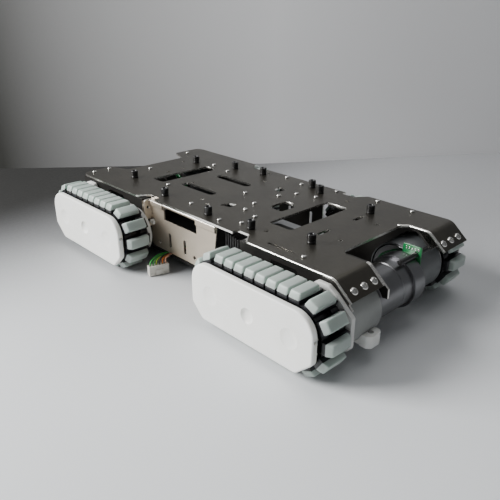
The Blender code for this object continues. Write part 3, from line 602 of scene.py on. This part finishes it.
# ------------------------------------------------------------------ tracks
def on_pitch_line(s):
    """Point and outward direction at distance s along the pin line."""
    span, arc = DRIVE_X - IDLER_X, math.pi * PITCH_R
    s %= 2 * (span + arc)
    if s < arc / 2:
        x, a = DRIVE_X, s / PITCH_R
    elif s < arc / 2 + span:
        return Vector((DRIVE_X - (s - arc / 2), AXLE_Z + PITCH_R)), Vector((0, 1))
    elif s < 1.5 * arc + span:
        x, a = IDLER_X, math.pi / 2 + (s - arc / 2 - span) / PITCH_R
    elif s < 1.5 * arc + 2 * span:
        return Vector((IDLER_X + (s - 1.5 * arc - span), AXLE_Z - PITCH_R)), Vector((0, -1))
    else:
        x, a = DRIVE_X, -math.pi / 2 + (s - 1.5 * arc - 2 * span) / PITCH_R
    out = Vector((math.cos(a), math.sin(a)))
    return Vector((x, AXLE_Z)) + PITCH_R * out, out


loop_length = 2 * (DRIVE_X - IDLER_X) + 2 * math.pi * PITCH_R
pitch = loop_length / LINKS


def shaped_box(edit, width, y0, y1, h0, h1, top_width=None, near=0.0, far=0.0, offset=0.0, soft=0.0, segments=2):
    """A block in link coordinates (along the track, across it, outwards), softened on every edge."""
    verts = bmesh.ops.create_cube(edit, size=1.0)["verts"]
    for v in verts:
        top = v.co.z > 0
        w = (top_width if top and top_width else width) / 2
        y = (y0 + (near if top else 0)) if v.co.y < 0 else (y1 - (far if top else 0))
        v.co = Vector((math.copysign(w, v.co.x) + offset, y, h1 if top else h0)) * MM
    if soft:
        edges = list({e for v in verts for e in v.link_edges})
        bmesh.ops.bevel(edit, geom=edges, offset=soft * MM, segments=segments, profile=0.5, affect="EDGES", clamp_overlap=True)


def round_bar(edit, radius, y0, y1, offset=0.0, height=0.0, sides=14):
    made = bmesh.ops.create_cone(edit, cap_ends=True, segments=sides, radius1=radius * MM, radius2=radius * MM,
                                 depth=abs(y1 - y0) * MM)["verts"]
    bmesh.ops.transform(edit, verts=made, matrix=Matrix.Translation(Vector((offset, (y0 + y1) / 2, height)) * MM)
                        @ Matrix.Rotation(math.pi / 2, 4, "X"))


pad_mesh, body_mesh, pin_mesh = bmesh.new(), bmesh.new(), bmesh.new()
shaped_box(pad_mesh, 8.1, -91.3, -72.6, 5.6, 10.05, 7.3, 1.9, 1.0, 0, 0.8, 3)
# the links leave a lane in the middle for the sprocket's teeth
shaped_box(body_mesh, 7.4, -90.8, -70.4, 0.75, 6.4, 7.8, 0, 0, 0, 0.3, 2)
for low, high in ((-90.8, -85.0), (-76.9, -70.4)):
    shaped_box(body_mesh, 7.4, low, high, -2.4, 3.4, 7.4, 0, 0, 0, 0.35, 2)
    round_bar(body_mesh, 3.0, low + 0.2, high - 0.2, pitch / 2, 0.0)
    round_bar(body_mesh, 3.0, low + 0.2, high - 0.2, -pitch / 2 * 0.98, 0.0)
round_bar(pin_mesh, 1.15, -91.3, -85.1, -pitch / 2, 0.0, 12)
round_bar(pin_mesh, 1.15, -76.8, -70.1, -pitch / 2, 0.0, 12)


def chained(link_mesh, name, *materials):
    edit = bmesh.new()
    one = bpy.data.meshes.new("one")
    bmesh.ops.recalc_face_normals(link_mesh, faces=link_mesh.faces)
    link_mesh.to_mesh(one)
    link_mesh.free()
    for k in range(LINKS):
        first = len(edit.verts)
        edit.from_mesh(one)
        edit.verts.ensure_lookup_table()
        p, out = on_pitch_line(k * pitch)
        along = Vector((-out.y, out.x))
        matrix = Matrix(((along.x, 0, out.x, p.x * MM), (0, 1, 0, 0), (along.y, 0, out.y, p.y * MM), (0, 0, 0, 1)))
        bmesh.ops.transform(edit, verts=edit.verts[first:], matrix=matrix)
    bpy.data.meshes.remove(one)
    return smooth(to_object(edit, name, *materials), 40)


four(chained(pad_mesh, "track_pads", PAD), "track_pads", "track")
four(chained(body_mesh, "track_links", CHAIN), "track_links", "track")
four(chained(pin_mesh, "track_pins", SCREW), "track_pins", "track")

# ------------------------------------------------------------------ outer covers
X0, X1, Z0, Z1 = 44.5, 148.0, 5.2, 45.4
cover_outline = fillet([(X0, Z0 + 10), (X0 + 10, Z0), (X1 - 12, Z0), (X1, Z0 + 11), (X1, Z1), (X0, Z1)],
                       [5, 5, 5, 5, 14, 14], 8)
cover = prism("cover", [cover_outline], -96.4, -91.9, "XZ", NYLON)
bevel(cover, 1.1, 4, 30)
for x, r, deep in ((IDLER_X, 6.6, 0.55), ((IDLER_X + DRIVE_X) / 2, 5.2, 1.7), (DRIVE_X, 6.6, 0.65)):
    cut(cover, lathe("dimple", [(0, -deep), (r * 0.55, -deep * 0.9), (r * 0.85, -deep * 0.45), (r, 0.02), (r, 3), (0, 3)], (0, -1, 0),
                     (x, -96.4, 25.6), 48, NYLON))
for x, way in ((X1, 1), (X0, -1)):
    cut(cover, lathe("recess", [(0, -2.5), (1.4, -2.5), (1.4, 3), (0, 3)], (way, 0, 0), (x, -94.1, 30.5), 20, NYLON))
smooth(cover, 40)
for polygon in cover.data.polygons:
    if abs(polygon.normal.y) > 0.999 and polygon.area > 1e-4:
        polygon.use_smooth = False
four(cover, "cover", "outer_cover")


# ------------------------------------------------------------------ side plates of the tub
def hexagon(x, y, r, turn=0.0):
    return [(x + r * math.cos(turn + math.pi * k / 3), y + r * math.sin(turn + math.pi * k / 3)) for k in range(6)]


face = fillet([(-54.0, 13.3), (22.0, 13.3), (24.6, 34.0), (27.0, 50.0), (27.0, 52.4), (-54.0, 52.4)], [3, 2, 8, 0.4, 0, 0], 4)
side = prism("side", [face], -59.5, -58.3, "XZ", PALE, EDGE)
cut(side, prism("openings", [box_outline(-36.0, 39.6, 4.0, 49.6), slot(-31.2, 18.0, -28.2, 29.8), slot(-12.4, 18.0, -9.4, 29.8),
                             circle(-43.9, 18.4, 1.5, 20), circle(0.6, 19.2, 1.5, 20)], -62, -54, "XZ"))
join(side, box("top_flange", (-54.0, -59.4, 51.3), (27.0, -51.5, 52.5)),
     prism("end_flange", [fillet([(-65.3, 30.0), (-58.8, 30.0), (-58.8, 52.4), (-65.3, 52.4)], [2, 0, 0, 2], 3)], -54.6, -53.4, "YZ"))
cut(side, prism("end_holes", [circle(-62.3, 35.0, 1.3, 16), circle(-62.3, 46.0, 1.3, 16)], -60, -50, "YZ"))
for x0, x1, low in ((-52.6, -36.4, 47.6), (4.6, 26.4, 46.8)):
    # the folded lip stands proud of the plate and carries the deck
    fold = prism("fold", [fillet([(-61.1, low), (-59.0, low), (-59.0, 52.2), (-61.1, 52.2)], [0.9, 0, 0, 0.9], 5)], x0, x1, "YZ")
    join(side, fold)
join(side, prism("rail", [fillet([(-60.7, 50.2), (-59.0, 50.2), (-59.0, 52.2), (-60.7, 52.2)], [0.7, 0, 0, 0.7], 4)], -37.0, 5.0, "YZ"))
edges_bare(side, lambda n, c: (abs(n.x) > 0.6 and c.x > 15) or (abs(n.z) > 0.6 and c.z < 50.5) or (n.z > 0.5 and c.y < -59.6))
bevel(side, 0.15, 1, 40)
smooth(side, 20)
left_side = prism("left_side", [fillet([(-25.0, 13.3), (25.0, 13.3), (25.0, 52.4), (-25.0, 52.4)], [3, 3, 0, 0], 4)], 58.3, 59.5, "XZ", PALE, EDGE)
cut(left_side, prism("openings", [box_outline(-17.0, 39.6, 17.0, 49.6), slot(-13.6, 18.4, -11.0, 29.8), slot(11.0, 18.4, 13.6, 29.8)],
                     54, 62, "XZ"))
join(left_side, box("top_flange", (-25.0, 51.5, 51.3), (25.0, 59.4, 52.5)),
     prism("fold", [fillet([(59.0, 49.9), (61.1, 49.9), (61.1, 52.1), (59.0, 52.1)], [0, 0.8, 0.8, 0], 5)], -24.0, 24.0, "YZ"))
edges_bare(left_side, lambda n, c: abs(n.x) > 0.6 or (abs(n.z) > 0.6 and c.z < 50.5))
# painted shade: the left sheet's faces towards the bay take the dark plated material
paint_bay_shade(left_side, lambda n, c: n.y < -0.5)
bevel(left_side, 0.15, 1, 40)
smooth(left_side, 20)
for made, name in ((side, "side_plate_right"), (left_side, "side_plate_left")):
    made.name = name.replace("plate", "sheet")
    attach(made, "chassis")
    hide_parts(name)
nut = prism("nut", [hexagon(-51.0, 34.0, 2.6, 0.3)], -61.3, -59.5, "XZ", NYLON)
cut(nut, prism("nut_hole", [circle(-51.0, 34.0, 1.2, 18)], -63, -60.2, "XZ"))
bevel(nut, 0.3, 2, 30)
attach(nut, "chassis")

# ------------------------------------------------------------------ parts of the bay that show through the openings
comb = box("comb", (30.0, -52.6, 34.0), (45.0, -50.8, 45.6), BLACK)
for k in range(6):
    comb = join(comb, box("fin", (30.4 + 2.5 * k, -54.6, 37.0 + 0.2 * k), (31.6 + 2.5 * k, -52.0, 48.0 - 0.5 * k)))
bevel(comb, 0.2, 1, 40)
foot = box("comb_foot", (31.0, -52.0, 9.6), (44.0, -51.2, 36.0), BLACK)
comb = merged("terminal_comb", [comb, foot])
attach(comb, "chassis")

# ------------------------------------------------------------------ motor brackets
web_top = DECK_TOP - DECK_T - 0.3


def bracket(name, bent, single=False):
    if bent:
        strip = ear_strip(web_top, 1.5, 57.0, 147.2, 6)
        end = [tuple(p) for p in strip[1:8]]
    else:
        strip = box_outline(57.0, web_top - 1.5, 147.5, web_top)
        end = [(147.5, web_top)]
    web = prism(name, [strip], -65.1, -55.4 if single else -30.1, "XZ", PLATED_AND_SHADE, EDGE)
    tip = (end[-1][0], end[-1][1])
    outer = [(57.0, 12.0), (109.5, 12.0)]
    outer += [(DRIVE_X + 20.9 * math.cos(a), AXLE_Z + 20.9 * math.sin(a)) for a in [math.radians(180 - 10 * k) for k in range(15)]]
    outer += [(149.5, 38.0)] + [tip] + end[-2::-1] + [(57.0, web_top)]
    cheek = prism("cheek", [outer], -65.2, -63.7, "XZ")
    if not single:
        cut(cheek, prism("windows", [slot(84.0, 44.0, 108.0, 49.0), fillet(box_outline(66, 18, 100, 38), 4, 5)], -70, -60, "XZ"))
    inner = [(105.0, web_top), (105.0, 34.0), (108.0, AXLE_Z)]
    inner += [(DRIVE_X + 17.5 * math.cos(a), AXLE_Z + 17.5 * math.sin(a)) for a in [math.radians(180 - 6.458 * k) for k in range(25)]]
    inner += [(150.0, 33.8), (149.8, 40.0)] + [tip] + end[-2::-1]
    ring = prism("ring", [inner], -31.5, -30.0, "XZ")
    join(web, cheek)
    if single:
        bpy.data.objects.remove(ring, do_unlink=True)
    else:
        join(web, ring)
    edges_bare(web, lambda n, c: abs(n.y) < 0.5 and (c.z < 50.5 or c.x > 133))
    bevel(web, 0.15, 1, 40)
    return smooth(web, 20)


for corner, sx, sy in CORNERS:
    source = bracket("bracket_shape", sx > 0, sy < 0)
    made = at_corner(source, f"bracket_{corner}", sx, sy)
    bpy.data.objects.remove(source, do_unlink=True)
    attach(made, "chassis")
    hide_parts(f"motor_bracket_{corner}")

# ------------------------------------------------------------------ gearmotors and encoder boards
GEARBOX = [(0, -61.9), (17.6, -61.9), (18.3, -61.3), (18.3, -39.9), (17.7, -39.45)]
CAN_BACK = [(16.2, -39.0), (16.2, -37.6), (16.45, -37.4), (16.45, -8.0), (16.1, -7.8), (16.1, -7.0), (16.45, -6.8), (16.45, 3.1), (18.1, 3.1),
            (18.3, 3.4), (18.3, 14.2), (17.9, 14.8), (17.0, 14.95), (16.4, 14.6), (0, 14.6)]


def gearmotor(name, profile):
    made = lathe(name, profile, (0, 1, 0), (DRIVE_X, 0, AXLE_Z), 72, CAN)
    cut(made, lathe("shaft_well", [(0, -64), (3.2, -64), (3.2, -58.2), (0, -58.2)], (0, 1, 0), (DRIVE_X, 0, AXLE_Z), 24, CAN))
    return made


long_motor = gearmotor("gearmotor_shape", GEARBOX + CAN_BACK)
vents = []
for turn in (-75, -40, 140, 175):
    vent = prism("vent", [slot(-1.5, -6.0, 1.5, 1.0)], 14.6, 20.0, "XY")
    spin = Matrix.Rotation(math.radians(90 - turn), 4, "Y")
    vent.data.transform(Matrix.Translation(Vector((DRIVE_X, 0, AXLE_Z)) * MM) @ spin)
    vents.append(vent)
cut(long_motor, *vents)
short_motor = gearmotor("short_motor_shape", GEARBOX + [(0, -39.45)])
four(long_motor, "motor", "gearmotor", left=short_motor)
bpy.data.objects.remove(short_motor, do_unlink=True)


def encoder(name, start, low, high, top, chips):
    disc = prism("disc", [circle(DRIVE_X, AXLE_Z, 14.5, 48)], start, start + 1.15, "XZ", BOARD)
    join(disc, prism("disc_tab", [fillet([(DRIVE_X + low, 35.0), (DRIVE_X + high, 35.0), (DRIVE_X + high, AXLE_Z + top),
                                          (DRIVE_X + low, AXLE_Z + top)], [0, 0, 1.2, 1.2], 3)], start + 0.2, start + 1.0, "XZ"))
    bevel(disc, 0.1, 1, 40)
    parts = [bevel(box("chip", (DRIVE_X + x, start + 0.02, AXLE_Z + z), (DRIVE_X + x + w, start + 0.3, AXLE_Z + z + h), SCREW), 0.05, 1)
             for x, z, w, h in chips]
    return merged(name, [disc] + parts)


long_board = encoder("encoder_shape", 15.7, -1.95, 11.95, 23.95, [(0.2 + 2.2 * k, 20.4, 1.2, 2.0) for k in range(5)])
# painted shade: the rear motors take the dark plated material in place of can steel, as they stand in shade
for corner, sx, sy in CORNERS[1:]:
    if sx < 0:
        bpy.data.objects[f"motor_{corner}"].data.materials[0] = PLATED_AND_SHADE
short_board = encoder("short_encoder_shape", -38.7, -3.0, 9.0, 15.4, [(1.0, 8.0, 2.0, 1.4)])
four(long_board, "encoder", "encoder_board", left=short_board)
bpy.data.objects.remove(short_board, do_unlink=True)

harness = lathe("harness_sleeve", [(0, -3.0), (1.6, -3.0), (1.9, -2.7), (1.9, 30.6), (1.6, 31.0), (0, 31.0)], (0, 1, 0), (138.5, 0, 44.4), 20, BLACK)
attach(harness, "chassis")

# ------------------------------------------------------------------ pod frames: plate, fender, motor sleeve, clamp boss
def stadium(r, n=20):
    ends = [(DRIVE_X + r * math.cos(a), AXLE_Z + r * math.sin(a)) for a in [math.pi * (k / n - 0.5) for k in range(n + 1)]]
    return ends + [(IDLER_X + r * math.cos(a), AXLE_Z + r * math.sin(a)) for a in [math.pi * (k / n + 0.5) for k in range(n + 1)]]


def pod_frame(name, fender):
    plate = prism("plate", [stadium(18.45)], -69.6, -66.1, "XZ", FRAME_NYLON)
    if fender:
        join(plate, prism("fender", [fillet([(116.0, 30.0), (125.0, 50.5), (134.6, 50.5), (140.4, 46.8), (152.5, 36.3), (152.7, 16.0),
                                             (141.0, 10.0)], [0, 3, 3, 3, 2, 4, 0], 6)], -69.4, -66.2, "XZ"))
    cut(plate, prism("bores", [circle(DRIVE_X, AXLE_Z, 3.4, 24), circle(IDLER_X, AXLE_Z, 3.3, 24)], -75, -60, "XZ"))
    bevel(plate, 0.5, 2, 40)
    # painted shade: on the left frames the plate's inner face takes the dark plated material
    if not fender:
        paint_bay_shade(plate, lambda n, c: n.y > 0.5)
    # the left sleeves take the darker copy of the sleeve colour as painted shade
    end, skin = (-36.05, SLEEVE) if fender else (-39.05, SHADE_PAINTED_SLEEVE)
    sleeve = lathe("sleeve", [(0, -66.3), (19.9, -66.3), (19.9, end - 0.95), (19.6, end - 0.25), (19.2, end), (0, end)], (0, 1, 0),
                   (DRIVE_X, 0, AXLE_Z), 72, skin)
    cut(sleeve, lathe("sleeve_bore", [(0, -62.3), (18.72, -62.3), (18.72, -30), (0, -30)], (0, 1, 0), (DRIVE_X, 0, AXLE_Z), 72, SLEEVE),
        lathe("shaft_bore", [(0, -70), (3.4, -70), (3.4, -60), (0, -60)], (0, 1, 0), (DRIVE_X, 0, AXLE_Z), 24, SLEEVE))
    smooth(sleeve, 30)
    post = lathe("post", [(0, -91.6), (4.4, -91.6), (4.4, -69.0), (0, -69.0)], (0, 1, 0), ((DRIVE_X + IDLER_X) / 2, 0, AXLE_Z), 28, FRAME_NYLON)
    if not fender:
        return merged(name, [plate, sleeve, post])
    boss = prism("boss", [fillet(box_outline(147.0, -52.6, 154.5, -39.7), [0.2, 6.2, 6.2, 0.2], 10)], 9.5, 17.7, "XY", NYLON)
    bevel(boss, 0.6, 3, 30)
    arm = prism("arm", [box_outline(139.5, -52.2, 148.6, -40.1)], 10.0, 17.2, "XY", NYLON)
    cut(arm, lathe("arm_clear", [(0, -60), (19.0, -60), (19.0, -30), (0, -30)], (0, 1, 0), (DRIVE_X, 0, AXLE_Z), 72, NYLON))
    clamp_screw = lathe("clamp_screw", [(0, 17.0), (2.0, 17.0), (2.0, 17.5), (1.7, 17.75), (0, 17.75)], (0, 0, 1), (150.4, -46.2, 0), 20, SCREW)
    return merged(name, [plate, sleeve, post, smooth(boss, 40), arm, clamp_screw])


left_frames = pod_frame("left_frame_shape", False)
four(pod_frame("frame_shape", True), "frame", "pod_frame", left=left_frames)
bpy.data.objects.remove(left_frames, do_unlink=True)


# ------------------------------------------------------------------ CAD nodes kept, with their materials
KEEP = {"bottom_tray": INNER, "drive_sprocket_": BLACK, "drive_shaft_": SCREW, "idler_sprocket_": BLACK,
        "idler_axle_": SCREW, "lead_clip": NYLON}
for name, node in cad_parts.items():
    for stem, material in KEEP.items():
        if name.startswith(stem):
            for material_slot in node.material_slots:
                material_slot.material = material

# ------------------------------------------------------------------ floor, backdrop, light
FLOOR_LEVEL = -0.0002
sheet_edit = bmesh.new()
sheet_edit.faces.new([sheet_edit.verts.new((x, y, FLOOR_LEVEL)) for x, y in ((-2.2, -2.2), (2.2, -2.2), (2.2, 2.2), (-2.2, 2.2))])
floor = to_object(sheet_edit, "floor", FLOOR)
floor.location = (0, 0, 0)
# backdrop: two upright sheets that meet behind the left pods
wall_edit = bmesh.new()
foot_line = [(-1.166, -0.969), (-0.36, 0.026), (-0.2029, 0.2213), (-0.07, 0.425), (0.350, 1.060)]
columns = [(wall_edit.verts.new((x, y, FLOOR_LEVEL)), wall_edit.verts.new((x, y, 1.1))) for x, y in foot_line]
for (low_a, high_a), (low_b, high_b) in zip(columns, columns[1:]):
    wall_edit.faces.new([low_a, low_b, high_b, high_a])
wall = to_object(wall_edit, "backdrop", WALL)
wall.location = (0, 0, 0)
wall.data.shade_smooth()


def area(name, at, aim, size, power, colour=(1, 1, 1)):
    lamp = bpy.data.lights.new(name, "AREA")
    lamp.shape = "RECTANGLE"
    lamp.size, lamp.size_y = size
    lamp.energy = power
    lamp.color = colour
    made = bpy.data.objects.new(name, lamp)
    made.matrix_world = Matrix.Translation(Vector(at)) @ (Vector(at) - Vector(aim)).to_track_quat("Z", "Y").to_matrix().to_4x4()
    bpy.context.scene.collection.objects.link(made)


area("key", (-0.62, -0.80, 0.62), (0, 0, 0.03), (0.55, 0.55), 30.0)
area("top", (-0.1, 0.3, 0.95), (0, 0, 0.03), (0.8, 0.8), 3.0)
world = bpy.data.worlds.new("studio")
world.use_nodes = True
world.node_tree.nodes["Background"].inputs["Color"].default_value = (0.80, 0.82, 0.85, 1.0)
world.node_tree.nodes["Background"].inputs["Strength"].default_value = 0.22
bpy.context.scene.world = world
